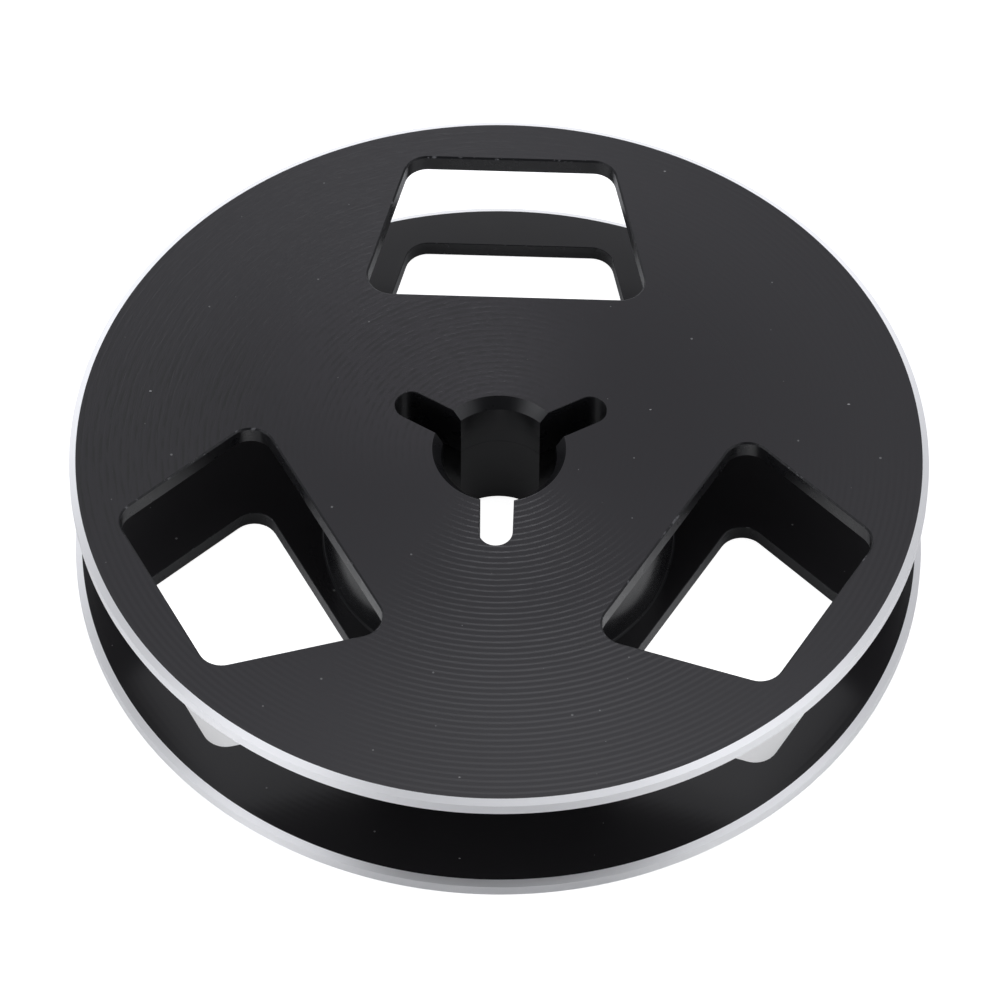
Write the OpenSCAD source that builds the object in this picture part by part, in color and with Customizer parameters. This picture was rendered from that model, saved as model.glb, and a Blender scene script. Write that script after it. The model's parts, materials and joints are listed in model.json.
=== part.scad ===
// Small open-reel tape spool for 6.3 mm tape: two turned aluminium flanges clamped on a hub.
// The origin is the middle of the underside, and +Z is the spool's own axis.

/* [Reel] */
// Diameter over the rims
outer_d = 60; // [58:0.5:70]
// Winding gap between the flanges, and so the hub's height
gap_h = 8.4; // [7:0.1:12]

/* [Flanges] */
// Thickness of each flange
flange_t = 1.4; // [1.3:0.1:2]
// Width of the bright cut on each rim corner, measured along the radius
rim_cut_w = 0.46; // [0.2:0.02:0.8]
// Height of the bright cut on each rim corner
rim_cut_h = 0.25; // [0.1:0.05:0.5]

/* [Hub] */
// Diameter that the tape is wound on
hub_d = 24.8; // [23.4:0.2:26]
// Small bevel on the hub's two outer edges
hub_edge = 0.15; // [0.05:0.05:0.4]

/* [Spindle hole] */
// Diameter of the bore that the machine's spindle fills
bore_d = 8.1; // [7.8:0.05:8.4]
// Width of the cone that leads into the bore from above
lead_in_w = 0.62; // [0.3:0.02:0.9]
// Depth of the same cone
lead_in_h = 0.8; // [0.4:0.05:1.2]
// Bevel where the bore leaves the underside
bore_foot_edge = 0.3; // [0.1:0.05:0.5]
// Width of each slot for the spindle's splines
slot_w = 2.34; // [2:0.02:2.6]
// Distance from the axis to the round end of a slot
slot_tip_r = 8.4; // [7.6:0.1:8.8]

/* [Windows] */
// Number of windows in a flange, and of slots round the bore
window_count = 3; // [3]
// Width of flange left between the hub's wall and a window
hub_land_w = 1.25; // [1:0.05:2.6]
// Width of flange left between a window and the rim
rim_band_w = 3.7; // [3:0.1:8]
// Length of the inner edge between its square corners
window_inner_w = 20.6; // [16:0.2:22]
// Length of the outer edge between its square corners
window_outer_w = 14.6; // [10:0.2:16]
// Radius of each window corner
window_corner_r = 1.7; // [0.6:0.1:2.4]
// How far the cutter of a corner runs past the straight edges
window_corner_relief = 0.01; // [0.005:0.005:0.05]

/* [Boss] */
// Diameter of the boss under the upper flange, which centres the hub
boss_d = 20; // [19.6:0.1:20.6]
// Height of the boss
boss_h = 3; // [2:0.1:4]
// Gap all round between the boss and the hub's counterbore
boss_fit = 0.03; // [0.01:0.01:0.1]
// Gap under the boss, so that the hub's rim is what gets clamped
boss_end_gap = 0.02; // [0.01:0.01:0.1]

/* [Screws] */
// Outer diameter of the thread
screw_d = 2; // [1.6:0.1:2.2]
// Length of a screw over its head
screw_len = 10; // [9:0.1:10.2]
// Diameter of the countersunk head
screw_head_d = 3.8; // [3.2:0.1:4]
// Height of the head's straight edge
screw_head_rim = 0.12; // [0.05:0.01:0.2]
// How far a head lies below the flange's face
screw_sink = 0.05; // [0.02:0.01:0.1]
// Distance across the flats of the hexagon socket
socket_af = 1.3; // [1:0.1:1.4]
// Depth of the hexagon socket
socket_depth = 0.7; // [0.4:0.05:0.9]
// Distance from the reel's axis to each screw's axis
screw_ring_r = 7.6; // [7.2:0.1:8]
// Gap all round a screw in the flange and the hub
screw_gap = 0.2; // [0.1:0.05:0.3]
// Gap all round the thread in its tapped hole
thread_gap = 0.02; // [0.01:0.01:0.05]
// Length of the tapped hole past the screw's tip
thread_runout = 0.35; // [0.1:0.05:0.6]

/* [Hidden] */

$fn = 144;
outer_r = outer_d / 2;
bore_r = bore_d / 2;
hub_r = hub_d / 2;
window_inner_r = hub_r + hub_land_w;
window_outer_r = outer_r - rim_band_w;
boss_r = boss_d / 2;
screw_r = screw_d / 2;
head_r = screw_head_d / 2;
hub_z = flange_t;
upper_z = flange_t + gap_h;
top_z = upper_z + flange_t;
pitch_angle = 360 / window_count;
window_angle = 90;
slot_angle = window_angle + pitch_angle / 2;
head_cone_h = head_r - screw_r;
cone_foot_z = screw_sink + screw_head_rim;
screw_tip_z = screw_sink + screw_len;
thread_end_z = screw_tip_z + thread_runout;
anodised = [0.17, 0.17, 0.18];
screw_black = [0.10, 0.10, 0.11];
// Cuts reach this far past the face that they open
over = 1;

// A copy of the children at each of the equal steps round the axis
module around(first_angle) {
    for (i = [0 : window_count - 1])
        rotate([0, 0, first_angle + i * pitch_angle])
            children();
}

function unit(v) = v / norm(v);
function half_angle(a, b, c) = acos(unit(a - b) * unit(c - b)) / 2;
function arc_centre(a, b, c, r) =
    b + unit(unit(a - b) + unit(c - b)) * r / sin(half_angle(a, b, c));
function arc_start(a, b, c, r) = b + unit(a - b) * r / tan(half_angle(a, b, c));

// An upright prism on a convex outline whose corners are true arcs, each a little proud of its two sides
module rounded_prism(outline, r, relief, height) {
    n = len(outline);
    corners = [for (i = [0 : n - 1]) [outline[(i + n - 1) % n], outline[i], outline[(i + 1) % n]]];
    linear_extrude(height)
        polygon([for (c = corners) each [arc_start(c[0], c[1], c[2], r), arc_start(c[2], c[1], c[0], r)]]);
    for (c = corners)
        translate(arc_centre(c[0], c[1], c[2], r))
            cylinder(r = r + relief, h = height);
}

// The cut for one window, which is narrower at the rim than at the hub
module window_cut(z, height) {
    outline = [
        [window_inner_r, -window_inner_w / 2],
        [window_outer_r, -window_outer_w / 2],
        [window_outer_r, window_outer_w / 2],
        [window_inner_r, window_inner_w / 2]
    ];
    translate([0, 0, z])
        rounded_prism(outline, window_corner_r, window_corner_relief, height);
}

// The bore with its spline slots, cut through one piece
module spindle_cut(z, height) {
    end_r = slot_tip_r - slot_w / 2;
    translate([0, 0, z])
        cylinder(r = bore_r, h = height);
    around(slot_angle)
        translate([0, -slot_w / 2, z])
            cube([end_r, slot_w, height]);
    around(slot_angle)
        translate([end_r, 0, z])
            cylinder(d = slot_w, h = height);
}

// A flange blank: a disc whose two rim corners are cut back
module flange_disc(z) {
    translate([0, 0, z])
        rotate_extrude()
            polygon([
                [0, 0],
                [outer_r - rim_cut_w, 0],
                [outer_r, rim_cut_h],
                [outer_r, flange_t - rim_cut_h],
                [outer_r - rim_cut_w, flange_t],
                [0, flange_t]
            ]);
}

// Upper flange: turned disc with its windows, the lead-in to the bore and the threaded boss
module upper_flange() {
    boss_z = upper_z - boss_h;
    color(anodised)
    difference() {
        union() {
            flange_disc(upper_z);
            translate([0, 0, boss_z])
                cylinder(r = boss_r, h = boss_h + flange_t / 2);
        }
        around(window_angle)
            window_cut(upper_z - over, flange_t + 2 * over);
        spindle_cut(boss_z - over, boss_h + flange_t + 2 * over);
        translate([0, 0, top_z - lead_in_h])
            cylinder(r1 = bore_r, r2 = bore_r + lead_in_w, h = lead_in_h);
        translate([0, 0, top_z])
            cylinder(r = bore_r + lead_in_w, h = over);
        around(window_angle)
            translate([screw_ring_r, 0, boss_z - over])
                cylinder(r = screw_r + thread_gap, h = thread_end_z - boss_z + over);
    }
}

// Hub: the sleeve that the tape is wound on, counterbored for the boss
module hub() {
    seat_r = boss_r + boss_fit;
    seat_z = upper_z - boss_h - boss_end_gap;
    color(anodised)
    difference() {
        translate([0, 0, hub_z])
            rotate_extrude()
                polygon([
                    [0, 0],
                    [hub_r - hub_edge, 0],
                    [hub_r, hub_edge],
                    [hub_r, gap_h - hub_edge],
                    [hub_r - hub_edge, gap_h],
                    [0, gap_h]
                ]);
        translate([0, 0, seat_z])
            cylinder(r = seat_r, h = upper_z - seat_z + over);
        spindle_cut(hub_z - over, gap_h + 2 * over);
        around(window_angle)
            translate([screw_ring_r, 0, hub_z - over])
                cylinder(r = screw_r + screw_gap, h = gap_h + 2 * over);
    }
}

// Lower flange: the same disc and windows, with the screws' countersinks underneath
module lower_flange() {
    color(anodised)
    difference() {
        flange_disc(0);
        around(window_angle)
            window_cut(-over, flange_t + 2 * over);
        spindle_cut(-over, flange_t + 2 * over);
        cylinder(r1 = bore_r + bore_foot_edge, r2 = bore_r, h = bore_foot_edge);
        translate([0, 0, -over])
            cylinder(r = bore_r + bore_foot_edge, h = over);
        around(window_angle)
            translate([screw_ring_r, 0, 0])
                screw_seat();
    }
}

// The hole for one screw: a straight mouth, the countersink and the clearance hole
module screw_seat() {
    mouth_r = head_r + thread_gap;
    mouth_z = cone_foot_z - thread_gap;
    translate([0, 0, -over])
        cylinder(r = mouth_r, h = mouth_z + over);
    translate([0, 0, mouth_z])
        cylinder(r1 = mouth_r, r2 = screw_r, h = head_cone_h + thread_gap);
    translate([0, 0, -over])
        cylinder(r = screw_r + screw_gap, h = flange_t + 2 * over);
}

// One countersunk screw, head down, with a hexagon socket
module flange_screw() {
    difference() {
        union() {
            translate([0, 0, screw_sink])
                cylinder(r = head_r, h = screw_head_rim);
            translate([0, 0, cone_foot_z])
                cylinder(r1 = head_r, r2 = screw_r, h = head_cone_h);
            translate([0, 0, screw_sink])
                cylinder(r = screw_r, h = screw_len);
        }
        translate([0, 0, screw_sink - over])
            cylinder(d = socket_af / cos(30), h = socket_depth + over, $fn = 6);
    }
}

// The screws that clamp both flanges on the hub, one under each window
module flange_screws() {
    color(screw_black)
    around(window_angle)
        translate([screw_ring_r, 0, 0])
            flange_screw();
}

upper_flange();
hub();
lower_flange();
flange_screws();
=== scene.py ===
# %% [markdown]
# # A small audio tape reel
# The real reel is four kinds of piece: two thin discs turned from aluminium, a hub between
# them, and three countersunk screws. All of it is dyed black by anodising, and then the
# rims are cut once more, which leaves two bright rings of bare metal.
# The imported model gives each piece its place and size. This script builds each one again
# with the small things that make it look real: broken edges, turning marks and threads.

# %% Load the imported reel
import json
import math

import bmesh
import bpy
from mathutils import Matrix, Quaternion, Vector


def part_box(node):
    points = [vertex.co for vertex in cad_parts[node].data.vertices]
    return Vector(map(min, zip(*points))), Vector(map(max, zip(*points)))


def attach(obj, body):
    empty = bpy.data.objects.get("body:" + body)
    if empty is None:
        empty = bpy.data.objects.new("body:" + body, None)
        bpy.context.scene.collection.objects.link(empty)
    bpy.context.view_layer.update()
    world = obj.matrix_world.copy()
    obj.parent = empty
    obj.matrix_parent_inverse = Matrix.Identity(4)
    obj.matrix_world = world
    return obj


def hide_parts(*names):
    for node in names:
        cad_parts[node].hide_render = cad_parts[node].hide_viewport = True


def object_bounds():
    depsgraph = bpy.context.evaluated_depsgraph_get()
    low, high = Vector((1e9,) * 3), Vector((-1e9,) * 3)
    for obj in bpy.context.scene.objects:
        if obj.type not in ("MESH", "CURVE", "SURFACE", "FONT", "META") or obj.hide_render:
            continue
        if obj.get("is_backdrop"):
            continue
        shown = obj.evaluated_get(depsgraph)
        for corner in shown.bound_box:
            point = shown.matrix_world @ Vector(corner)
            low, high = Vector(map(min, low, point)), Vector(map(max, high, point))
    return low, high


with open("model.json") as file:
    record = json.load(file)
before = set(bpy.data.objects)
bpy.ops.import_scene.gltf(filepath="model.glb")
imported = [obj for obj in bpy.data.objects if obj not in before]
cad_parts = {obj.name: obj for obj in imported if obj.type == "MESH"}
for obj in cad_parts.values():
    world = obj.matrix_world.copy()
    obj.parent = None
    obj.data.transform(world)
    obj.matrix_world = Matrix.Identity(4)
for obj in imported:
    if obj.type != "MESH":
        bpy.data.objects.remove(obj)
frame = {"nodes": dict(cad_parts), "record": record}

cad_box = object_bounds()
print("packed pieces:", ", ".join(sorted(frame["nodes"])))

# %% [markdown]
# ## The main sizes
# Blender works in metres, and a reel is measured in millimetres, so one factor is named
# first.

# %% The main sizes
MM = 0.001
lower_box, hub_box, upper_box = (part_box(n) for n in ("lower_flange", "hub", "upper_flange"))
outer_r = lower_box[1].x
flange_t = lower_box[1].z
hub_r = hub_box[1].x
upper_z = hub_box[1].z
top_z = upper_box[1].z
boss_z = upper_box[0].z
bore_r = frame["record"]["mounts"][0]["dims"]["r_mm"] * MM
print(f"reel {2 * outer_r / MM:.1f} mm across and {top_z / MM:.1f} mm high")

# %% [markdown]
# ## Sizes of the features
# A box says how far a piece reaches, but not where its windows, slots and bevels are. These
# are real sizes in millimetres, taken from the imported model's own values. Edges that a file
# has just touched get a break of a tenth of a millimetre, which is what catches the light.

# %% Sizes of the features
rim_cut_w, rim_cut_h = 0.46 * MM, 0.25 * MM
lead_in_w, lead_in_h = 0.62 * MM, 0.8 * MM
bore_foot_edge = 0.3 * MM
slot_w, slot_tip_r = 2.34 * MM, 8.4 * MM
hub_edge, foot_flare = 0.15 * MM, 0.14 * MM
boss_r, boss_fit, boss_end_gap = 10 * MM, 0.03 * MM, 0.02 * MM
window_inner_r = hub_r + 1.25 * MM
window_outer_r = outer_r - 3.7 * MM
window_inner_w, window_outer_w = 20.6 * MM, 14.6 * MM
window_corner_r = 1.7 * MM
edge_break, small_break = 0.12 * MM, 0.04 * MM
over = 1 * MM
copies = 3
window_angle = math.radians(90)
slot_angle = math.radians(150)
print(f"windows from {window_inner_r / MM:.2f} to {window_outer_r / MM:.2f} mm off the axis")

# %% [markdown]
# ## The camera
# The camera comes first, because everything is judged through it. A photograph's camera is
# found again from circles and edges of known size. Here it stood 0.44 m off, with a
# long lens, and that is why the far rim is hardly smaller than the near one.
# `to_track_quat` aims it, and one small turn about its own axis levels it as it was held.

# %% Camera
def aimed_camera(aim, distance, azimuth, elevation, roll, focal_px, image_px):
    """A camera that looks at aim from azimuth and elevation, in degrees, at that distance."""
    a, e = math.radians(azimuth), math.radians(elevation)
    away = Vector((math.cos(a) * math.cos(e), math.sin(a) * math.cos(e), math.sin(e)))
    data = bpy.data.cameras.new("portrait_camera")
    data.sensor_width = 36
    data.lens = data.sensor_width * focal_px / image_px
    data.clip_start, data.clip_end = 0.05, 20
    cam = bpy.data.objects.new("portrait_camera", data)
    bpy.context.collection.objects.link(cam)
    cam.rotation_mode = "QUATERNION"
    cam.location = Vector(aim) + away * distance
    levelled = Quaternion((0, 0, 1), math.radians(roll))
    cam.rotation_quaternion = (-away).to_track_quat("-Z", "Y") @ levelled
    bpy.context.scene.camera = cam
    return cam


camera = aimed_camera(
    aim=(0.21 * MM, -4.5 * MM, top_z), distance=442.3 * MM,
    azimuth=-88.475, elevation=53.04, roll=0.438, focal_px=6379, image_px=1000,
)
print("camera at", [round(c / MM, 1) for c in camera.location], f"lens {camera.data.lens:.1f} mm")

# %% [markdown]
# ## Node helpers
# A material is a small graph. These helpers add a node and wire it in one line, so that a
# finish reads from top to bottom like a recipe.

# %% Node helpers
def new_material(name):
    """A material with an empty graph but for its Principled shader and output."""
    mat = bpy.data.materials.new(name)
    mat.use_nodes = True
    return mat, mat.node_tree, mat.node_tree.nodes["Principled BSDF"]


def fill(tree, node, inputs):
    """Fills a node's inputs, each by value or by link."""
    for socket, value in dict(inputs).items():
        if isinstance(value, bpy.types.NodeSocket):
            tree.links.new(value, node.inputs[socket])
        else:
            node.inputs[socket].default_value = value


def add(tree, kind, inputs=(), **settings):
    """A new node with its settings made and its inputs filled."""
    node = tree.nodes.new(kind)
    for key, value in settings.items():
        setattr(node, key, value)
    fill(tree, node, inputs)
    return node


def math_node(tree, operation, *values):
    """The output of one Math node."""
    return add(tree, "ShaderNodeMath", enumerate(values), operation=operation).outputs[0]


def vector_math(tree, operation, *vectors):
    """The vector output of one Vector Math node."""
    return add(tree, "ShaderNodeVectorMath", enumerate(vectors), operation=operation).outputs[0]


print("node helpers ready")

# %% [markdown]
# ## Noise, blends and places
# Every finish needs the same few things: a noise, a blend of two colours, a value brought
# from one range to another, and the distance from the reel's axis. They are measured on the
# piece itself, with Object coordinates, so the marks stay where they are if the reel moves.

# %% Noise, blends and places
def noise_node(tree, place, scale, detail, **settings):
    """A noise from 0 to 1 over the place, with that many cells to a metre."""
    named = {"Vector": place, "Scale": scale, "Detail": detail, **settings}
    return add(tree, "ShaderNodeTexNoise", named).outputs[0]


def bumped(tree, height, distance):
    """The normal of a surface that is lifted by the height times the distance."""
    named = {"Height": height, "Distance": distance, "Strength": 1.0}
    return add(tree, "ShaderNodeBump", named).outputs[0]


def blend(tree, factor, first, second):
    """The colour between two colours, which is the first where the factor is 0."""
    mix = add(tree, "ShaderNodeMix", {"Factor": factor, "A": first, "B": second}, data_type="RGBA")
    return mix.outputs["Result"]


def ranged(tree, value, low, high, to_low, to_high, kind="LINEAR"):
    """The output of a Map Range node, which stays inside its range."""
    named = {"Value": value, "From Min": low, "From Max": high, "To Min": to_low, "To Max": to_high}
    return add(tree, "ShaderNodeMapRange", named, interpolation_type=kind).outputs[0]


def object_place(tree):
    """The place on the piece, in metres."""
    return add(tree, "ShaderNodeTexCoord").outputs["Object"]


def reel_radius(tree):
    """The place on the piece, its three parts, and its distance from the reel's axis."""
    place = object_place(tree)
    split = add(tree, "ShaderNodeSeparateXYZ", {0: place}).outputs
    flat = add(tree, "ShaderNodeCombineXYZ", {"X": split["X"], "Y": split["Y"]}).outputs[0]
    radius = add(tree, "ShaderNodeVectorMath", {0: flat}, operation="LENGTH").outputs["Value"]
    return place, split, radius


print("noise, blends and places ready")

# %% [markdown]
# ## Black anodising over a turned face
# The lathe tool leaves one groove for each turn, 0.48 mm apart. The grooves are less
# than 0.02 mm deep, too fine for geometry, so they are a bump that depends only on the
# distance from the axis. Each one rises slowly and falls steeply, as a tool leaves it, and
# that is why the fan of light shows on one side of the reel and hardly on the other.

# %% Grooves
turning_pitch = 0.479 * MM
steep_share = 0.44


def groove_height(tree, radius):
    """The height of a turned groove, from 0 to 1: a slow rise and then a steep fall."""
    across = math_node(tree, "FRACT", math_node(tree, "DIVIDE", radius, turning_pitch))
    rise = ranged(tree, across, 0, 1 - steep_share, 0, 1, "SMOOTHSTEP")
    fall = ranged(tree, across, 1 - steep_share, 1, 1, 0, "SMOOTHSTEP")
    return math_node(tree, "MULTIPLY", rise, fall)


print(f"grooves every {turning_pitch / MM:.3f} mm")

# %% [markdown]
# ## Streaks along the grooves
# Handling wears a turned face along its grooves. A noise that turns slowly with the angle and
# fast with the radius is drawn out the same way. It makes the grooves in front a little
# uneven, and at the back left it takes their place, as fine marks of its own.

# %% Streaks of wear
streak_turns, streak_width = 12, 0.24 * MM
# where the grooves give way to wear, from front to back and from right to left
fade_y, fade_x = (-4 * MM, 3 * MM), (12 * MM, -6 * MM)


def ring_streaks(tree, place, radius):
    """Noise from 0 to 1 that is drawn out along the grooves, like the wear in them."""
    flat = vector_math(tree, "MULTIPLY", place, (1, 1, 0))
    outwards = vector_math(tree, "NORMALIZE", flat)
    scaled = {0: outwards, "Scale": streak_turns}
    slow = add(tree, "ShaderNodeVectorMath", scaled, operation="SCALE").outputs[0]
    rings = math_node(tree, "DIVIDE", radius, streak_width)
    fast = add(tree, "ShaderNodeCombineXYZ", {"Z": rings}).outputs[0]
    drawn_out = vector_math(tree, "ADD", slow, fast)
    noise = noise_node(tree, drawn_out, 1, 3, Roughness=0.6)
    return ranged(tree, noise, 0.34, 0.62, 0, 1)


def grooved_height(tree, place, split, radius, depths):
    """The height of the whole face: clear grooves in front, streaks of wear at the back left."""
    inner_depth, middle_depth, outer_depth, mark_depth = depths
    streaks = ring_streaks(tree, place, radius)
    behind = ranged(tree, split["Y"], *fade_y, 0, 1)
    left = ranged(tree, split["X"], *fade_x, 0, 1)
    rubbed = math_node(tree, "MULTIPLY", behind, ranged(tree, streaks, 0, 1, 0.97, 0.65))
    near_bore = ranged(tree, radius, 6 * MM, 13 * MM, inner_depth, middle_depth)
    near_rim = ranged(tree, radius, 20 * MM, 27 * MM, 0, outer_depth - middle_depth)
    depth = math_node(tree, "ADD", near_bore, near_rim)
    depth = math_node(tree, "MULTIPLY", depth, ranged(tree, streaks, 0, 1, 0.84, 1.12))
    depth = math_node(tree, "MULTIPLY", depth, math_node(tree, "SUBTRACT", 1, rubbed))
    grooves = math_node(tree, "MULTIPLY", groove_height(tree, radius), depth)
    worn_depth = ranged(tree, radius, 8 * MM, 26 * MM, 0.3 * mark_depth, mark_depth)
    marks = math_node(tree, "MULTIPLY", math_node(tree, "MULTIPLY", behind, left), worn_depth)
    return math_node(tree, "MULTIPLY_ADD", streaks, marks, grooves)


print("grooves fade over the back left")

# %% [markdown]
# ## The rubbed patch and the painted shade in the grooves
# Fingers hold a reel by its middle, so the black is paler just behind the bore. The bottoms
# of the grooves are painted darker, as broken dark lines in that patch and on the reel's
# left, which is painted shade. Both are masks from 0 to 1, so one blend of colours each is enough.

# %% Rubbed patch and painted groove shade
patch_middle = (-5.5 * MM, 8.5 * MM, top_z)
patch_full_r, patch_end_r = 4.5 * MM, 14 * MM
# how much painted groove shade the rubbed patch gets
patch_groove_shade = 0.55


def rubbed_patch(tree, place):
    """1 just behind the bore, where fingers have rubbed the face paler, and 0 far from there."""
    off = add(tree, "ShaderNodeVectorMath", {0: place, 1: patch_middle}, operation="DISTANCE")
    return ranged(tree, off.outputs["Value"], patch_full_r, patch_end_r, 1, 0, "SMOOTHSTEP")


def painted_groove_shade(tree, place, split, radius, patch):
    """Up to 1 in the painted shade: broken dark lines along the groove bottoms, on the left and in
    the patch.
    """
    broken = ranged(tree, ring_streaks(tree, place, radius), 0.35, 0.75, 1, 0)
    bottoms = ranged(tree, groove_height(tree, radius), 0.1, 0.75, 1, 0)
    lines = math_node(tree, "MULTIPLY", broken, bottoms)
    left = ranged(tree, split["X"], -13 * MM, -19 * MM, 0, 1)
    beside = ranged(tree, math_node(tree, "ABSOLUTE", split["Y"]), 12 * MM, 5 * MM, 0, 1)
    above = ranged(tree, split["Z"], upper_z, top_z, 0, 1)
    where = math_node(tree, "MULTIPLY", math_node(tree, "MULTIPLY", left, beside), above)
    where = math_node(tree, "MAXIMUM", where, math_node(tree, "MULTIPLY", patch, patch_groove_shade))
    return math_node(tree, "MULTIPLY", where, lines)


# the masks are the rubbed patch and the painted shade in the grooves
print("masks of wear ready")

# %% [markdown]
# ## Specks of dust
# A Voronoi texture scatters one point in every cell and gives each a random colour. That
# colour decides whether its cell has a speck and how large it is. Modelled specks would
# look the same from here, and cost thousands of triangles.

# %% Specks
def speck_mask(tree, place, cell, size, share, stretch=(1, 1, 1)):
    """1 on small specks at random places, up to that size, and 0 elsewhere."""
    drawn = vector_math(tree, "MULTIPLY", place, stretch)
    spots = add(tree, "ShaderNodeTexVoronoi", {"Vector": drawn, "Scale": 1 / cell},
                feature="F1", voronoi_dimensions="2D")
    chance = add(tree, "ShaderNodeSeparateColor", {0: spots.outputs["Color"]}).outputs[0]
    reach = ranged(tree, chance, 1 - share, 1, 0, size / cell)
    return math_node(tree, "LESS_THAN", spots.outputs["Distance"], reach)


print("specks ready")

# %% [markdown]
# ## Which way the tool ran
# A turned face stretches its highlights across its grooves. The shader does that when it is
# told a direction on the surface, and one cross product gives it anywhere on the reel.

# %% Direction across the grooves
def across_grooves(tree, split):
    """The direction across the tool's lines, which a highlight is drawn out in."""
    back = math_node(tree, "MULTIPLY", split["Y"], -1)
    round_reel = add(tree, "ShaderNodeCombineXYZ", {"X": back, "Y": split["X"]}).outputs[0]
    normal = add(tree, "ShaderNodeNewGeometry").outputs["Normal"]
    return vector_math(tree, "NORMALIZE", vector_math(tree, "CROSS_PRODUCT", normal, round_reel))


print("direction ready")

# %% [markdown]
# ## The turned faces
# Black anodising is a clear glassy layer with dye in it, so the shader is very dark and
# glossy, with no metal in it. The outer faces are turned with a coarse feed, and the
# inner ones, which the tape runs beside, are faced so finely that the grooves hardly show.
# The inner faces are painted paler than the outer ones, as painted light in the shaded gap
# between the flanges. Towards the rim each face is rougher and its colour paler.

# %% Turned and anodised finish
black_ior = 1.5
# painted shade in the bottoms of the grooves
groove_painted_shade = (0.001, 0.001, 0.001, 1)
rubbed_pale = (0.0158, 0.0137, 0.0172, 1)
dust_grey, fleck_grey = (0.12, 0.12, 0.12, 1), (0.3, 0.3, 0.3, 1)
# the cell a speck stands in, its largest size, and the share of cells that have one
dust = (1.9 * MM, 0.09 * MM, 0.11)
flecks = (6.1 * MM, 0.05 * MM, 0.5)


def make_turned_black(name, dark, pale, ior, rim_roughness, depths):
    """Black anodising over facing marks, paler towards the rim.

    The depths are the grooves' near the bore, half way and at the rim, and the marks'.
    """
    mat, tree, shader = new_material(name)
    place, split, radius = reel_radius(tree)
    cloud = ranged(tree, noise_node(tree, place, 120, 4), 0.3, 0.7, -0.2, 0.2)
    # the colour turns paler towards the rim, with a random cloud of tone
    toning = math_node(tree, "ADD", ranged(tree, radius, 10 * MM, 30 * MM, 0, 0.8), cloud)
    patch = rubbed_patch(tree, place)
    colour = blend(tree, toning, dark, pale)
    colour = blend(tree, patch, colour, rubbed_pale)
    # painted shade: the groove bottoms are darkened along these lines
    colour = blend(tree, painted_groove_shade(tree, place, split, radius, patch), colour, groove_painted_shade)
    colour = blend(tree, speck_mask(tree, place, *dust), colour, dust_grey)
    colour = blend(tree, speck_mask(tree, place, *flecks, stretch=(0.5, 1, 1)), colour, fleck_grey)
    height = grooved_height(tree, place, split, radius, depths)
    fill(tree, shader, {
        "Base Color": colour, "IOR": ior, "Anisotropic": 0.6,
        "Roughness": ranged(tree, radius, 13 * MM, 26 * MM, 0.2, rim_roughness),
        "Tangent": across_grooves(tree, split), "Normal": bumped(tree, height, 1.0),
    })
    return mat


turned_black = make_turned_black(
    "turned_black_anodising", (0.0066, 0.0053, 0.0078, 1), (0.008, 0.0067, 0.0092, 1),
    black_ior, 0.385, (0.018 * MM, 0.0138 * MM, 0.0185 * MM, 0.014 * MM))
# paler than the turned colours: painted light for the shaded gap between the flanges
faced_black = make_turned_black(
    "faced_black_anodising", (0.0135, 0.0128, 0.0138, 1), (0.0165, 0.0158, 0.0168, 1),
    1.46, 0.22, (0.002 * MM, 0.0018 * MM, 0.0015 * MM, 0.001 * MM))
print("finishes:", turned_black.name, faced_black.name)

# %% [markdown]
# ## Smooth walls
# The hub's outside, the bore and the windows' walls are cut with a mill or a boring bar, and
# have no grooves to speak of. They share one recipe, a fine grain in the gloss. The hub is
# smoothest, because tape is wound on it, and the cone at the bore is dull and reflects less.

# %% Smooth anodised finish
milled_tone = (0.007, 0.007, 0.0078, 1)


def make_grained(name, colour, grain_scale, smooth, rough, **constants):
    """A finish with a fine grain in its gloss, in that range of roughness."""
    mat, tree, shader = new_material(name)
    grain = noise_node(tree, object_place(tree), grain_scale, 3)
    roughness = ranged(tree, grain, 0.3, 0.7, smooth, rough)
    fill(tree, shader, {"Base Color": colour, "Roughness": roughness, **constants})
    return mat


milled_black = make_grained("milled_black_anodising", milled_tone, 900, 0.18, 0.24, IOR=black_ior)
wall_black = make_grained("wall_black_anodising", milled_tone, 900, 0.25, 0.33, IOR=black_ior)
cone_black = make_grained("cone_black_anodising", milled_tone, 900, 0.26, 0.34, IOR=1.31)
print("finishes:", milled_black.name, wall_black.name, cone_black.name)

# %% [markdown]
# ## Bare cut metal
# The rims were cut after the dyeing, so they are bare aluminium with fine lines that run
# round the reel. A noise that reads only the height and the distance from the axis, never
# the angle, makes such lines. Lines also draw a highlight out across themselves, which is
# what the shader's anisotropy is for.

# %% Bare cut aluminium
def make_bright_cut():
    """Bare aluminium with fine lines round the rim."""
    mat, tree, shader = new_material("bright_cut_aluminium")
    _, split, radius = reel_radius(tree)
    across = add(tree, "ShaderNodeCombineXYZ", {"X": radius, "Y": split["Z"]}).outputs[0]
    lines = noise_node(tree, across, 9000, 2)
    fill(tree, shader, {
        "Base Color": (0.885, 0.885, 0.888, 1), "Metallic": 1.0,
        "Roughness": 0.4, "Anisotropic": 0.8,
        "Tangent": across_grooves(tree, split), "Normal": bumped(tree, lines, 0.004 * MM),
    })
    return mat


bright_cut = make_bright_cut()
print("finish:", bright_cut.name)

# %% [markdown]
# ## Steel of the screws
# Small steel screws are blackened with an oxide that is thinner than paint, so the metal's
# shine comes through. The grained recipe serves here too, with more than half metal in it.

# %% Black steel of the screws
screw_tone = (0.05, 0.05, 0.052, 1)
screw_black = make_grained("black_oxide_steel", screw_tone, 1500, 0.3, 0.45, Metallic=0.6)
print("finish:", screw_black.name)
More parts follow.
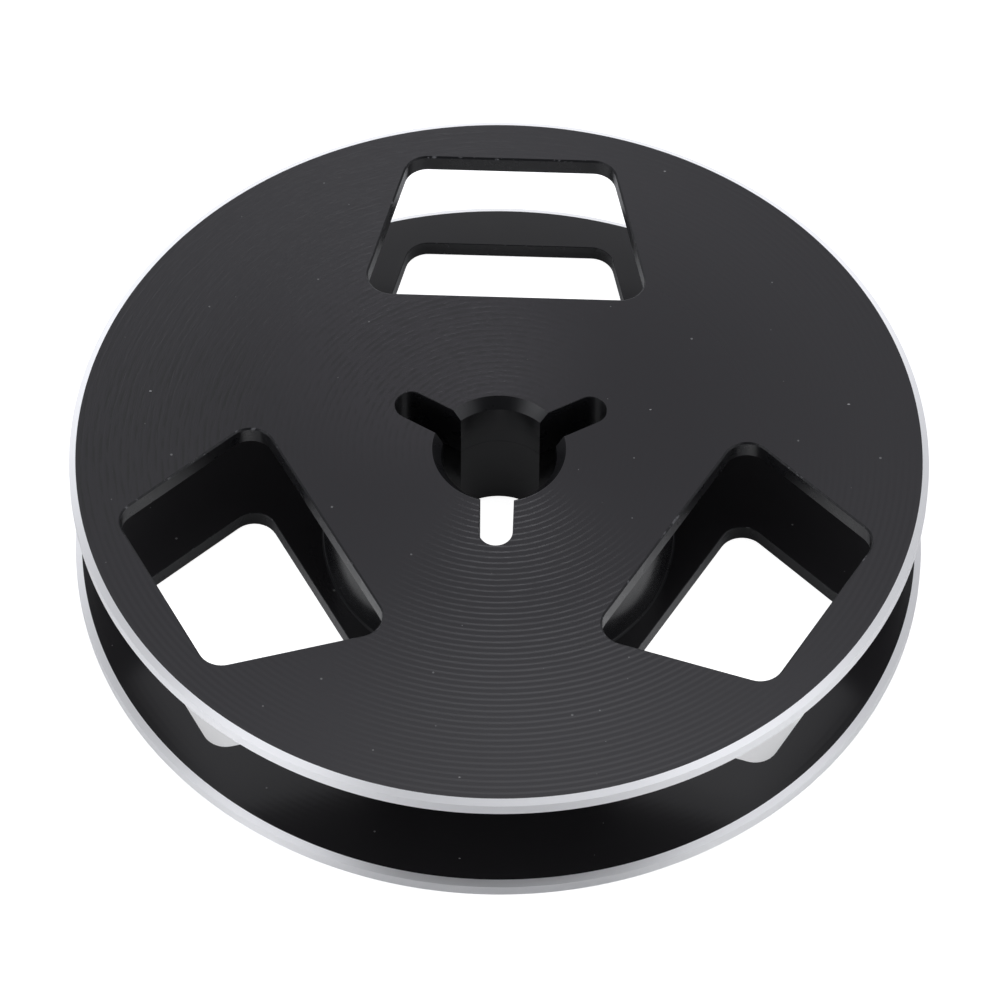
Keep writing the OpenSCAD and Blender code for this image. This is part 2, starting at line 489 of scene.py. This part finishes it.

# %% [markdown]
# ## Worn edges and painted glints
# The broken edges of a window are what fingers and reels on a shelf touch first. The dye is
# rubbed off them in spots, so a fine noise blends black into the grey of thin anodising, and
# those grey spots are painted glints as well. The same noise lifts the surface a little, as small
# nicks do.

# %% Worn edges and painted glints
def make_worn_edge_with_painted_glints():
    """The broken edges of windows and slots, with grey spots of rubbed dye that are painted glints
    too.
    """
    mat, tree, shader = new_material("worn_black_edge_painted_glints")
    rub = noise_node(tree, object_place(tree), 1400, 3, Roughness=0.6)
    bare_spots_and_glints = ranged(tree, rub, 0.6, 0.68, 0, 1)
    fill(tree, shader, {
        # grey spots: dye rubbed thin, and painted glints along the edges
        "Base Color": blend(tree, bare_spots_and_glints, (0.006, 0.006, 0.007, 1), (0.1, 0.1, 0.105, 1)),
        "IOR": 1.35, "Roughness": 0.4, "Normal": bumped(tree, rub, 0.05 * MM),
    })
    return mat


worn_edge_with_painted_glints = make_worn_edge_with_painted_glints()
print("finish:", worn_edge_with_painted_glints.name)

# %% [markdown]
# ## Turning a blank
# A lathe part is a profile spun round an axis, and `bmesh.ops.spin` does just that. The
# profile is a closed loop of points, each a distance from the axis and a height. Bevelling
# its corners before the spin is cheap, and gives every edge of the part its small round.

# %% Turned blanks
rim_steps = 288


def add_loop(bm, points):
    """A closed loop of edges through the points."""
    verts = [bm.verts.new(p) for p in points]
    edges = [bm.edges.new((a, b)) for a, b in zip(verts, verts[1:] + verts[:1])]
    return verts, edges


def spin_closed(bm, points, steps):
    """Spins a closed profile of (radius, height) points once round Z."""
    verts, edges = add_loop(bm, [(r, 0, z) for r, z in points])
    bmesh.ops.spin(bm, geom=verts + edges, cent=(0, 0, 0), axis=(0, 0, 1),
                   angle=2 * math.pi, steps=steps, use_merge=True)
    bmesh.ops.recalc_face_normals(bm, faces=bm.faces)


print(f"blanks are spun in {rim_steps} steps")

# %% [markdown]
# ## From a mesh to an object
# A bmesh is a mesh under construction that belongs to no object yet. A piece could also be
# changed step by step as an object, but building it here first is faster and leaves nothing
# behind. The cutters of a piece are joined into one bmesh, so one Boolean cuts them all.

# %% Meshes into objects
def to_object(bm, name, materials):
    """A linked object with the bmesh as its mesh, and these material slots."""
    mesh = bpy.data.meshes.new(name)
    bm.to_mesh(mesh)
    bm.free()
    for mat in materials:
        mesh.materials.append(mat)
    obj = bpy.data.objects.new(name, mesh)
    bpy.context.collection.objects.link(obj)
    return obj


def join_into(bm, part):
    """Adds the part's geometry to bm and frees the part."""
    made = bpy.data.meshes.new("part")
    part.to_mesh(made)
    part.free()
    bm.from_mesh(made)
    bpy.data.meshes.remove(made)


print("mesh helpers ready")

# %% [markdown]
# ## The rim and finishes of a flange
# Both flanges have the same rim, with two sloped corners and an upright edge. Its faces
# could be painted by hand, but place and slope tell the finish already: near the rim it is
# bare metal, upright it is milled, and level it is turned or faced. One loop paints a blank.

# %% Rim profile and finishes
TURNED, MILLED, BRIGHT, FACED, SLOPED = range(5)
flange_finishes = [turned_black, milled_black, bright_cut, faced_black, cone_black]
upright_below, level_from = 0.1, 0.99
touching = 0.01 * MM


def rim_profile(foot_z):
    """The part of a flange's profile that runs round its rim, from the lower face up."""
    face_z = foot_z + flange_t
    return [
        (outer_r - rim_cut_w, foot_z), (outer_r, foot_z + rim_cut_h),
        (outer_r, face_z - rim_cut_h), (outer_r - rim_cut_w, face_z),
    ]


def is_sloped(face):
    """True for a face that is neither upright nor level."""
    return upright_below < abs(face.normal.z) < level_from


def paint_blank(bm, inner_z):
    """Finishes of a flange: grooves on the outer face, fine facing inside, a bright rim."""
    for face in bm.faces:
        if min(v.co.xy.length for v in face.verts) > outer_r - rim_cut_w - touching:
            face.material_index = BRIGHT
        elif is_sloped(face):
            face.material_index = SLOPED
        elif abs(face.normal.z) < level_from:
            face.material_index = MILLED
        elif abs(face.calc_center_median().z - inner_z) < touching:
            face.material_index = FACED
        else:
            face.material_index = TURNED


print("flange finishes:", len(flange_finishes))

# %% [markdown]
# ## Outlines of the cutters
# Windows and slots are milled, so their corners are round. They cross the turned faces at
# every angle, and that is a job for the Boolean modifier and a cutter. A curve could draw
# the cutter's outline, but spinning one vertex about each corner's centre gives the same
# number of points at every height, and such outlines can be bridged into a closed solid.

# %% Cutter outlines
corner_steps = 10


def corner_arc(before, corner, after, radius):
    """The centre of a corner's arc, the direction it starts in and how far it turns."""
    into, out = (corner - before).normalized(), (after - corner).normalized()
    turn = into.angle(out)
    centre = corner + (out - into).normalized() * radius / math.cos(turn / 2)
    return centre, Vector((into.y, -into.x, 0)), turn


def add_outline(bm, corners, outset, z):
    """A closed loop at height z round the outline, moved outwards by outset."""
    arcs = []
    for i, (x, y, radius) in enumerate(corners):
        beside = (i - 1, (i + 1) % len(corners))
        before, after = (Vector((*corners[j][:2], 0)) for j in beside)
        centre, start, turn = corner_arc(before, Vector((x, y, 0)), after, radius)
        centre.z = z
        vert = bm.verts.new(centre + start * (radius + outset))
        made = bmesh.ops.spin(bm, geom=[vert], cent=centre, axis=(0, 0, 1),
                              angle=turn, steps=corner_steps)
        arcs.append((vert, made["geom_last"][0]))
    for (_, end), (start, _) in zip(arcs, arcs[1:] + arcs[:1]):
        bm.edges.new((end, start))


print(f"a corner is drawn in {corner_steps} steps")

# %% [markdown]
# ## Cutters that flare
# A plain prism would leave knife edges, which on the real reel a file takes off. A bevel
# after the cut would have to find those edges among hundreds of others. So the cutter
# flares where it meets a face, with a second material that the Boolean hands on.

# %% Flared cutters
merge_dist = 0.0001 * MM
lift = 0.05 * MM


def flared_end(face, size, up):
    """(height, outset) pairs of one end of a cutter, with a slope for that face's edge."""
    return [(face - up * size, 0), (face + up * lift, size + lift), (face + up * over, size + lift)]


def flared_levels(low, low_size, high, high_size):
    """(height, outset) pairs of a cutter that slopes both the edges that it makes."""
    return flared_end(low, low_size, -1)[::-1] + flared_end(high, high_size, 1)


def add_prism(bm, corners, levels, turn):
    """A closed cutter through outlines at several heights, turned about the reel's axis."""
    part = bmesh.new()
    for z, outset in levels:
        add_outline(part, corners, outset, z)
    bmesh.ops.remove_doubles(part, verts=part.verts, dist=merge_dist)
    bmesh.ops.bridge_loops(part, edges=part.edges)
    bmesh.ops.holes_fill(part, edges=part.edges)
    bmesh.ops.recalc_face_normals(part, faces=part.faces)
    for face in part.faces:
        face.material_index = 1 if is_sloped(face) else 0
    turned = Matrix.Rotation(turn, 3, "Z")
    bmesh.ops.rotate(part, verts=part.verts, cent=(0, 0, 0), matrix=turned)
    join_into(bm, part)


print(f"cutters run {over / MM:.0f} mm past the faces")

# %% [markdown]
# ## Windows and slots
# Three windows show how much tape is left, and three slots let the spindle's wings turn the
# reel. Each outline is four corners with a radius, so it can be read off a drawing. A slot
# ends round because its outer corners' radius is half its width. Modelling one third of
# the reel and copying it would need a seam, so all three are cut from a whole blank.

# %% Outlines of windows and slots
window_corners = [
    (window_inner_r, -window_inner_w / 2, window_corner_r),
    (window_outer_r, -window_outer_w / 2, window_corner_r),
    (window_outer_r, window_outer_w / 2, window_corner_r),
    (window_inner_r, window_inner_w / 2, window_corner_r),
]
slot_inner_r, slot_inner_round = 1.6 * MM, 0.2 * MM
slot_corners = [
    (slot_inner_r, -slot_w / 2, slot_inner_round), (slot_tip_r, -slot_w / 2, slot_w / 2),
    (slot_tip_r, slot_w / 2, slot_w / 2), (slot_inner_r, slot_w / 2, slot_inner_round),
]


def around(first):
    """The angles of the three copies of a feature, from the first one's."""
    return [first + i * 2 * math.pi / copies for i in range(copies)]


def add_openings(bm, window_levels, slot_levels):
    """The cutters of all windows and slots, each through those (height, outset) pairs."""
    for window_turn, slot_turn in zip(around(window_angle), around(slot_angle)):
        add_prism(bm, window_corners, window_levels, window_turn)
        add_prism(bm, slot_corners, slot_levels, slot_turn)


print(f"cutter outlines have {len(window_corners) * (corner_steps + 1)} points")

# %% [markdown]
# ## Holes for the screws
# Three screws on one circle hold the reel together. Their holes are spun like everything
# else that is round, and each has a little air round its screw. The tapped holes are left
# smooth, because nobody can look into them, and an inner thread costs many triangles.

# %% Screw holes
screw_ring_r = 7.6 * MM
screw_r, screw_head_r = 1 * MM, 1.9 * MM
screw_gap, thread_gap = 0.2 * MM, 0.02 * MM
screw_sink, screw_head_rim = 0.05 * MM, 0.12 * MM
screw_len, thread_runout = 10 * MM, 0.35 * MM
hole_steps = 48


def screw_places():
    """Where the three screws' axes stand."""
    return [Vector((screw_ring_r * math.cos(turn), screw_ring_r * math.sin(turn), 0))
            for turn in around(window_angle)]


def straight_hole(radius, low, high):
    """The profile of a plain round cutter between two heights."""
    return [(0, low), (radius, low), (radius, high), (0, high)]


def add_round_holes(bm, profile):
    """Three round cutters with this closed profile, one at each screw's place."""
    for place in screw_places():
        part = bmesh.new()
        spin_closed(part, profile, hole_steps)
        bmesh.ops.remove_doubles(part, verts=part.verts, dist=merge_dist)
        bmesh.ops.translate(part, verts=part.verts, vec=place)
        join_into(bm, part)


print(f"screws stand {screw_ring_r / MM:.1f} mm off the axis")

# %% [markdown]
# ## Cutting and smoothing
# The Boolean's exact solver is the slower one, but it copes with faces that lie at the same
# height. It leaves some points on top of each other, which are merged here. Then every edge
# is smooth except the sharp ones, so that spun walls look round and small slopes stay crisp.

# %% Cutting and smoothing
weld_dist, sliver_dist = 0.0005 * MM, 0.0002 * MM
sharp_angle = math.radians(12)


def cut(blank, cutter):
    """Cuts the cutter out of the blank with an exact Boolean, and smooths what is round."""
    boolean = blank.modifiers.new("cut", "BOOLEAN")
    boolean.operation, boolean.solver, boolean.object = "DIFFERENCE", "EXACT", cutter
    boolean.material_mode = "TRANSFER"
    bpy.context.view_layer.update()
    evaluated = blank.evaluated_get(bpy.context.evaluated_depsgraph_get())
    old, blank.data = blank.data, bpy.data.meshes.new_from_object(evaluated)
    blank.modifiers.clear()
    bpy.data.meshes.remove(old)
    bpy.data.objects.remove(cutter)
    finish_mesh(blank)


def finish_mesh(obj):
    """Merges what the cut left double, then smooths every edge but the sharp ones."""
    bm = bmesh.new()
    bm.from_mesh(obj.data)
    bmesh.ops.remove_doubles(bm, verts=bm.verts, dist=weld_dist)
    bmesh.ops.dissolve_degenerate(bm, edges=bm.edges, dist=sliver_dist)
    bm.to_mesh(obj.data)
    open_edges = sum(not e.is_manifold for e in bm.edges)
    bm.free()
    for polygon in obj.data.polygons:
        polygon.use_smooth = True
    obj.data.set_sharp_from_angle(angle=sharp_angle)
    triangles = sum(len(p.vertices) - 2 for p in obj.data.polygons)
    print(f"{obj.name}: {triangles} triangles, {open_edges} open edges")


print(f"edges over {math.degrees(sharp_angle):.0f} degrees stay sharp")

# %% [markdown]
# ## The upper flange
# One disc and its boss, turned from one piece. The boss reaches down into the hub, centres
# it and takes the screw threads. Disc and boss could be two meshes joined later, but one
# profile has no seam and stays closed. The windows go through the disc, the slots through
# both.

# %% Upper flange
def make_upper_flange():
    """The upper disc with its boss, windows, slots and tapped holes."""
    bm = bmesh.new()
    rim = rim_profile(upper_z)
    profile = [(bore_r, boss_z), (boss_r, boss_z), (boss_r, upper_z), *rim,
               (bore_r + lead_in_w, top_z), (bore_r, top_z - lead_in_h)]
    spin_closed(bm, profile, rim_steps)
    paint_blank(bm, upper_z)
    blank = to_object(bm, "upper_flange_turned", flange_finishes)
    cutter = bmesh.new()
    add_openings(cutter, flared_levels(upper_z, small_break, top_z, edge_break),
                 flared_levels(boss_z, small_break, top_z, small_break))
    hole_end = screw_sink + screw_len + thread_runout
    add_round_holes(cutter, straight_hole(screw_r + thread_gap, boss_z - over, hole_end))
    cut(blank, to_object(cutter, "upper_cutter", [wall_black, worn_edge_with_painted_glints]))
    return blank


upper_flange = make_upper_flange()
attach(upper_flange, "root")
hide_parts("upper_flange")

# %% [markdown]
# ## The hub
# A thick sleeve that tape is wound on, with the same bore and slots, counterbored for the
# boss. At its foot a tiny flare stands for the round that a turning tool leaves. It could
# be a bevel modifier, but two more points in the profile cost less and land exactly there.

# %% Hub
def make_hub():
    """The sleeve that tape is wound on."""
    bm = bmesh.new()
    seat_r, seat_z = boss_r + boss_fit, boss_z - boss_end_gap
    half_way = 0.3 * foot_flare
    profile = [
        (bore_r, flange_t), (hub_r + foot_flare, flange_t),
        (hub_r + half_way, flange_t + half_way), (hub_r, flange_t + foot_flare),
        (hub_r, upper_z - hub_edge), (hub_r - hub_edge, upper_z), (seat_r, upper_z),
        (seat_r, seat_z), (bore_r, seat_z),
    ]
    spin_closed(bm, profile, rim_steps)
    for face in bm.faces:
        face.material_index = 1 if is_sloped(face) else 0
    blank = to_object(bm, "hub_turned", [milled_black, cone_black])
    cutter = bmesh.new()
    levels = [(flange_t - over, 0), (upper_z + over, 0)]
    for turn in around(slot_angle):
        add_prism(cutter, slot_corners, levels, turn)
    hole = straight_hole(screw_r + screw_gap, flange_t - over, upper_z + over)
    add_round_holes(cutter, hole)
    cut(blank, to_object(cutter, "hub_cutter", [milled_black]))
    return blank


hub = make_hub()
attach(hub, "root")
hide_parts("hub")

# %% [markdown]
# ## The lower flange
# The same disc without a boss. Its outer face, underneath, holds the three countersinks,
# which are cones as steep as the screws' heads. It could be a copy of the upper one, turned
# over, but then the boss would have to be cut off again, so it gets its own short profile.

# %% Lower flange
def make_lower_flange():
    """The lower disc with its windows, slots and countersinks."""
    bm = bmesh.new()
    profile = [(bore_r + bore_foot_edge, 0), *rim_profile(0),
               (bore_r, flange_t), (bore_r, bore_foot_edge)]
    spin_closed(bm, profile, rim_steps)
    paint_blank(bm, flange_t)
    blank = to_object(bm, "lower_flange_turned", flange_finishes)
    cutter = bmesh.new()
    add_openings(cutter, flared_levels(0, edge_break, flange_t, small_break),
                 flared_levels(0, small_break, flange_t, small_break))
    mouth_r = screw_head_r + thread_gap
    mouth_z = screw_sink + screw_head_rim - thread_gap
    hole_r = screw_r + screw_gap
    cone_top = mouth_z + mouth_r - hole_r
    add_round_holes(cutter, [(0, -over), (mouth_r, -over), (mouth_r, mouth_z),
                             (hole_r, cone_top), (hole_r, flange_t + over), (0, flange_t + over)])
    cut(blank, to_object(cutter, "lower_cutter", [wall_black, worn_edge_with_painted_glints]))
    return blank


lower_flange = make_lower_flange()
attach(lower_flange, "root")
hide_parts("lower_flange")

# %% [markdown]
# ## The thread of a screw
# A thread is one ridge wound up the shank. Rings stacked on each other would look alike from
# far off, but they don't climb. `spin` with a rise per step sweeps the ridge's section along
# a helix. Its foot is sunk a little into the core, so no gap can open between the two.

# %% Thread
thread_pitch, thread_core_r = 0.4 * MM, 0.78 * MM
thread_length, thread_end_gap = 5.6 * MM, 0.3 * MM
thread_steps = 24
ridge_half, ridge_sunk = 0.44 * thread_pitch, 0.03 * MM


def add_thread(bm, low, high):
    """A helical ridge of triangular section between two heights."""
    turns = (high - low) / thread_pitch - 1
    steps = int(turns * thread_steps)
    root_r = thread_core_r - ridge_sunk
    section = [(root_r, -ridge_half), (screw_r, 0), (root_r, ridge_half)]
    start_z = low + thread_pitch / 2
    verts, edges = add_loop(bm, [(r, 0, start_z + z) for r, z in section])
    rise = (0, 0, turns * thread_pitch / steps)
    swept = bmesh.ops.spin(bm, geom=verts + edges, cent=(0, 0, 0), axis=(0, 0, 1),
                           angle=turns * 2 * math.pi, steps=steps, dvec=rise)
    last = [e for e in swept["geom_last"] if isinstance(e, bmesh.types.BMEdge)]
    bmesh.ops.contextual_create(bm, geom=edges)
    bmesh.ops.contextual_create(bm, geom=last)


print(f"thread: {thread_length / MM:.1f} mm with a pitch of {thread_pitch / MM:.1f} mm")

# %% [markdown]
# ## Head and shank
# The head is a cone with a hexagon socket, and the shank is a rod with a thinner core under
# the thread. A Boolean could cut the socket, but it is the only hole in a flat disc. So the
# disc's inner ring is pulled onto six sides and extruded, which keeps the mesh clean.

# %% Screw bodies
socket_af, socket_depth = 1.3 * MM, 0.7 * MM
socket_flat_r, socket_edge = 0.68 * socket_af, 0.02 * MM
head_edge, tip_chamfer = 0.04 * MM, 0.25 * MM


def add_screw_body(bm, tip):
    """Head, shank and core, with a flat at each end; returns the head's flat."""
    head_top = screw_sink + screw_head_rim
    profile = [
        (socket_flat_r, screw_sink), (screw_head_r - head_edge, screw_sink),
        (screw_head_r, screw_sink + head_edge), (screw_head_r, head_top),
        (screw_r, head_top + screw_head_r - screw_r),
        (screw_r, tip - thread_length), (thread_core_r, tip - thread_length),
        (thread_core_r, tip - tip_chamfer), (thread_core_r - tip_chamfer, tip),
    ]
    verts = [bm.verts.new((r, 0, z)) for r, z in profile]
    edges = [bm.edges.new(pair) for pair in zip(verts, verts[1:])]
    bmesh.ops.spin(bm, geom=verts + edges, cent=(0, 0, 0), axis=(0, 0, 1),
                   angle=2 * math.pi, steps=hole_steps, use_merge=True)
    ends = bmesh.ops.holes_fill(bm, edges=bm.edges)["faces"]
    return min(ends, key=lambda f: f.calc_center_median().z)


def sink_socket(bm, flat):
    """A hexagon socket: an inset ring is gathered onto six sides and extruded."""
    sixth = math.pi / 3
    bmesh.ops.inset_region(bm, faces=[flat], thickness=socket_edge)
    for vert in flat.verts:
        angle = math.atan2(vert.co.y, vert.co.x)
        off = (angle + sixth / 2) % sixth - sixth / 2
        reach = socket_af / 2 / math.cos(off)
        vert.co.x, vert.co.y = reach * math.cos(angle), reach * math.sin(angle)
    floor = bmesh.ops.extrude_discrete_faces(bm, faces=[flat])["faces"][0]
    bmesh.ops.translate(bm, verts=floor.verts, vec=(0, 0, socket_depth))


print(f"socket: {socket_af / MM:.1f} mm across its sides")

# %% [markdown]
# ## The three screws
# They come up from below, so the top face stays plain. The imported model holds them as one
# piece, so they are one object with three closed bodies. Linked copies would all look the
# same, and nobody tightens three screws to the same angle, so each body is turned.

# %% Three screws
turn_between = 0.7


def make_flange_screws():
    """The three screws as one piece with three closed bodies, none turned quite alike."""
    bm = bmesh.new()
    tip = screw_sink + screw_len
    for i, place in enumerate(screw_places()):
        part = bmesh.new()
        sink_socket(part, add_screw_body(part, tip))
        add_thread(part, tip - thread_length, tip - thread_end_gap)
        bmesh.ops.recalc_face_normals(part, faces=part.faces)
        turned = Matrix.Rotation(turn_between * i, 3, "Z")
        bmesh.ops.rotate(part, verts=part.verts, cent=(0, 0, 0), matrix=turned)
        bmesh.ops.translate(part, verts=part.verts, vec=place)
        join_into(bm, part)
    return to_object(bm, "flange_screws_threaded", [screw_black])


flange_screws = make_flange_screws()
finish_mesh(flange_screws)
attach(flange_screws, "root")
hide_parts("flange_screws")

# %% [markdown]
# ## Light from the floor
# The reel lies on a white sweep, and much of what shines on its edges comes from there. A
# real sweep is lit by its own lamps. Here it glows by itself, because then the light can be
# told apart by the kind of ray: enough for the camera to see white, and less in mirrors.
# The bands below follow the reel's windows, since light reaches the walls through them. Under
# the front of the reel the camera sees less of the glow, which is a painted shadow.

# %% The floor's own light
glow_open, glow_under, glow_painted_shadow = 0.7, 0.93, 0.28
glow_near_mirror, glow_far_mirror = 0.03, 0.7
glow_window_mirror, glow_side_mirror = 0.6, 0.13


def floor_glow(tree):
    """The strength of the floor's own light: for the camera, with a painted shadow under the front
    of the reel, and less of it for reflections.
    """
    _, split, radius = reel_radius(tree)
    path = add(tree, "ShaderNodeLightPath").outputs
    # painted shadow: the glow seen by the camera drops under the front of the reel
    under = ranged(tree, split["Y"], -15 * MM, -12 * MM, glow_painted_shadow, glow_under)
    beside = ranged(tree, radius, outer_r - 2 * MM, outer_r, 0, 1)
    seen = {"Factor": beside, "A": under, "B": glow_open}
    for_camera = add(tree, "ShaderNodeMix", seen).outputs["Result"]
    off_middle = math_node(tree, "ABSOLUTE", split["X"])
    aside = ranged(tree, off_middle, 8 * MM, 16 * MM, 0, 1)
    ahead = ranged(tree, split["Y"], -13 * MM, -1 * MM, 1, 0)
    window_level = ranged(tree, off_middle, 16.3 * MM, 19.3 * MM, glow_window_mirror, 0)
    beside_level = ranged(tree, radius, 26 * MM, 31 * MM, window_level, glow_side_mirror)
    corners = math_node(tree, "MULTIPLY", aside, ahead)
    near = math_node(tree, "MULTIPLY_ADD", corners, beside_level, glow_near_mirror)
    level = ranged(tree, radius, 2 * outer_r, 20 * outer_r, near, glow_far_mirror, "SMOOTHSTEP")
    direct = math_node(tree, "MAXIMUM", path["Is Camera Ray"], path["Is Transmission Ray"])
    mirrored = math_node(tree, "MULTIPLY", path["Is Glossy Ray"], level)
    return math_node(tree, "MULTIPLY_ADD", direct, for_camera, mirrored)


print(f"floor glow: {glow_open} beside the reel, up to {glow_under} under it")

# %% [markdown]
# ## The floor
# The floor lies a fiftieth of a millimetre below the reel. At the same height the two would
# fight for the same pixels, which shows as streaks from below. Seen from there it is clear,
# so that the underside and its screws can be looked at too.

# %% Floor
floor_gap, floor_half = 0.02 * MM, 6
close_dist = 10 * floor_gap


def open_from_below(tree):
    """1 for a camera under the floor, and for rays that leave the reel's underside."""
    path = add(tree, "ShaderNodeLightPath").outputs
    behind = add(tree, "ShaderNodeNewGeometry").outputs["Backfacing"]
    below = math_node(tree, "MULTIPLY", path["Is Camera Ray"], behind)
    leaving = math_node(tree, "LESS_THAN", path["Ray Length"], close_dist)
    return math_node(tree, "MAXIMUM", below, leaving)


def make_floor():
    """A wide white floor under the reel, which a camera below it looks through."""
    bm = bmesh.new()
    lowered = Matrix.Translation((0, 0, -floor_gap))
    bmesh.ops.create_grid(bm, x_segments=1, y_segments=1, size=floor_half, matrix=lowered)
    mat, tree, shader = new_material("white_sweep")
    fill(tree, shader, {"Base Color": (0.75, 0.75, 0.75, 1), "Roughness": 0.9})
    light = {"Color": (1, 1, 1, 1), "Strength": floor_glow(tree)}
    glow = add(tree, "ShaderNodeEmission", light).outputs[0]
    both = add(tree, "ShaderNodeAddShader", {0: shader.outputs[0], 1: glow}).outputs[0]
    clear = add(tree, "ShaderNodeBsdfTransparent").outputs[0]
    surface = add(tree, "ShaderNodeMixShader", {0: open_from_below(tree), 1: both, 2: clear})
    tree.links.new(surface.outputs[0], tree.nodes["Material Output"].inputs["Surface"])
    floor = to_object(bm, "floor", [mat])
    floor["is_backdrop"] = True
    return floor


floor = make_floor()
print("floor size:", tuple(round(d, 1) for d in floor.dimensions))

# %% [markdown]
# ## The room
# Black gloss shows its surroundings more than itself, so the room is shaped with care. It
# is a light tent: bright near the horizon, brighter still above the left and right front,
# and dark straight in front, where the camera looks in.

# %% The room's shape
room_level = 0.6
# azimuth, elevation, inner and outer reach in degrees, and how much is added
room_lobes = [
    (95, 50, 12, 48, 0.08),
    (125, 42, 5, 15, 0.18),
    (162, 42, 10, 36, -0.09),
]
# azimuth, inner and outer reach in degrees, and how much is added at the horizon
back_band = (105, 38, 66, 1.0)
side_bands = [(219, 7, 25, 5.0), (-28, 8, 29, 3.0)]
front_level = 0.17
overhead_from, overhead_full, overhead_gain = 0.803, 0.87, 0.1
band_top = 0.6


def heading(azimuth, elevation):
    """The unit vector towards an azimuth and elevation in degrees."""
    a, e = math.radians(azimuth), math.radians(elevation)
    return (math.cos(a) * math.cos(e), math.sin(a) * math.cos(e), math.sin(e))


def lobe(tree, direction, towards, inner, outer):
    """1 within inner degrees of a heading, fading to 0 at outer degrees."""
    dot = add(tree, "ShaderNodeVectorMath", {0: direction, 1: towards}, operation="DOT_PRODUCT")
    far, close = math.cos(math.radians(outer)), math.cos(math.radians(inner))
    return ranged(tree, dot.outputs["Value"], far, close, 0, 1, "SMOOTHSTEP")


def front_shade(tree, split):
    """The dark panel round the camera, as a factor: wider low down than it is overhead."""
    width = ranged(tree, split["Z"], 0, 1, 0.6, 0.32)
    off = math_node(tree, "ABSOLUTE", math_node(tree, "SUBTRACT", split["X"], 0.04))
    aside = math_node(tree, "DIVIDE", off, width)
    inside = ranged(tree, aside, 0.85, 1.15, 1, 0, "SMOOTHSTEP")
    ahead = ranged(tree, split["Y"], -0.25, -0.1, 1, 0, "SMOOTHSTEP")
    return ranged(tree, math_node(tree, "MULTIPLY", inside, ahead), 0, 1, 1, front_level)


print(f"room: {len(room_lobes)} lobes and {1 + len(side_bands)} bands")

# %% [markdown]
# ## The world
# The world's shader puts the lobes and bands together and shows them to every ray except the
# camera's, which gets plain white. A picture of a studio could light the reel too, but it
# can't be reshaped, and each lobe here answers for one tone on the reel.

# %% World
room_tint = (0.985, 0.997, 1.045, 1)


def make_world():
    """The light tent, and plain white for the camera."""
    world = bpy.data.worlds.new("light_tent")
    world.use_nodes = True
    bpy.context.scene.world = world
    tree = world.node_tree
    direction = add(tree, "ShaderNodeTexCoord").outputs["Generated"]
    split = add(tree, "ShaderNodeSeparateXYZ", {0: direction}).outputs
    level = room_level
    for azimuth, elevation, inner, outer, gain in room_lobes:
        glow = lobe(tree, direction, heading(azimuth, elevation), inner, outer)
        level = math_node(tree, "MULTIPLY_ADD", glow, gain, level)
    overhead = ranged(tree, split["Z"], overhead_from, overhead_full, 0, overhead_gain)
    level = math_node(tree, "ADD", level, overhead)
    flat = add(tree, "ShaderNodeCombineXYZ", {"X": split["X"], "Y": split["Y"]}).outputs[0]
    flat = vector_math(tree, "NORMALIZE", flat)
    fades = [(back_band, 0.2, "SMOOTHSTEP")] + [(band, 0.05, "LINEAR") for band in side_bands]
    for (azimuth, inner, outer, gain), low_z, kind in fades:
        tall = ranged(tree, split["Z"], low_z, band_top, gain, 0, kind)
        band = lobe(tree, flat, heading(azimuth, 0), inner, outer)
        level = math_node(tree, "MULTIPLY_ADD", band, tall, level)
    level = math_node(tree, "MULTIPLY", level, front_shade(tree, split))
    room = add(tree, "ShaderNodeBackground", {"Color": room_tint, "Strength": level})
    white = add(tree, "ShaderNodeBackground", {"Color": (1, 1, 1, 1), "Strength": 1.0})
    seen = add(tree, "ShaderNodeLightPath").outputs["Is Camera Ray"]
    mixed = add(tree, "ShaderNodeMixShader", {0: seen, 1: room.outputs[0], 2: white.outputs[0]})
    tree.links.new(mixed.outputs[0], tree.nodes["World Output"].inputs["Surface"])
    return world


world = make_world()
print("world:", world.name)

# %% [markdown]
# ## The lamp
# One softbox hangs over the reel and a little behind it. It makes the fan of light on the
# grooves in front, which a wide tent alone would smear out. An area lamp is chosen because
# its shape shows in the gloss, as the real one's does.

# %% Lamps
def add_softbox(name, towards, distance, width, depth, radiance):
    """A rectangular area lamp that faces the reel, with its width along X."""
    away = Vector(towards).normalized()
    side = (Vector((1, 0, 0)) - away * away.x).normalized()
    data = bpy.data.lights.new(name, "AREA")
    data.shape, data.size, data.size_y = "RECTANGLE", width, depth
    data.energy = radiance * math.pi * width * depth
    data.color = room_tint[:3]
    lamp = bpy.data.objects.new(name, data)
    bpy.context.collection.objects.link(lamp)
    lamp.rotation_mode = "QUATERNION"
    lamp.rotation_quaternion = Matrix((side, away.cross(side), away)).transposed().to_quaternion()
    lamp.location = away * distance
    return lamp


add_softbox("overhead_softbox", towards=(0.07, 0.13, 0.98), distance=0.8,
            width=0.3, depth=0.4, radiance=2.75)
bpy.context.scene.view_settings.view_transform = "Standard"

# %% Write both boxes
model_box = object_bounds()
for name, box in (("packed", cad_box), ("dressed", model_box)):
    print(name, [round(c / MM, 3) for corner in box for c in corner])
